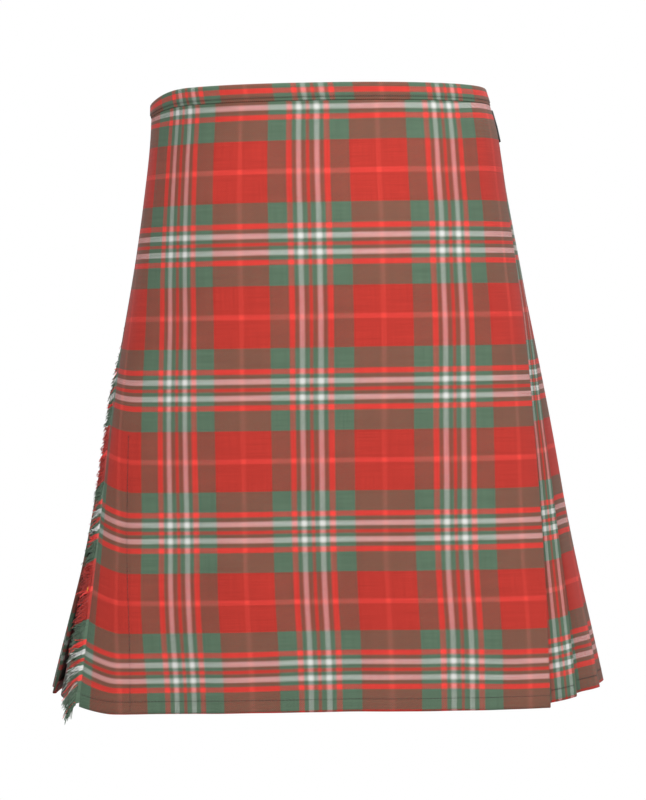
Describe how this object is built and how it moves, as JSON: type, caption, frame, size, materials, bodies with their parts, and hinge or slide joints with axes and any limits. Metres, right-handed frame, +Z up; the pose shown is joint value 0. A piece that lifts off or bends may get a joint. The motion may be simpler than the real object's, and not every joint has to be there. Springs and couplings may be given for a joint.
{
  "type": "scottish kilt",
  "caption": "Knee-length tartan wrap skirt in its worn, hollow form: flat aprons at the front, knife pleats round the back, a fringed edge and buckled leather straps at the waist.",
  "frame": {"origin": "centre of the waist opening, halfway up the waistband", "axes": "+Z up, the wearer faces -Y, +X to the wearer's left"},
  "size_m": [0.561, 0.329, 0.6075],
  "materials": {
    "tartan": "matt twill, red, green and white check",
    "fringe": "loose yarn",
    "leather": "smooth black, satin",
    "nickel": "polished nickel plate"
  },
  "bodies": {
    "root": {"over_apron": "tartan", "pleats": "tartan", "under_apron": "tartan", "waistband": "tartan", "fringe_strip": "fringe", "strap_left": "leather", "chape_left": "leather", "keeper_left": "leather", "strap_right": "leather", "chape_right": "leather", "keeper_right": "leather", "buckle_frame_left": "nickel", "buckle_prong_left": "nickel", "buckle_frame_right": "nickel", "buckle_prong_right": "nickel"}
  },
  "joints": []
}
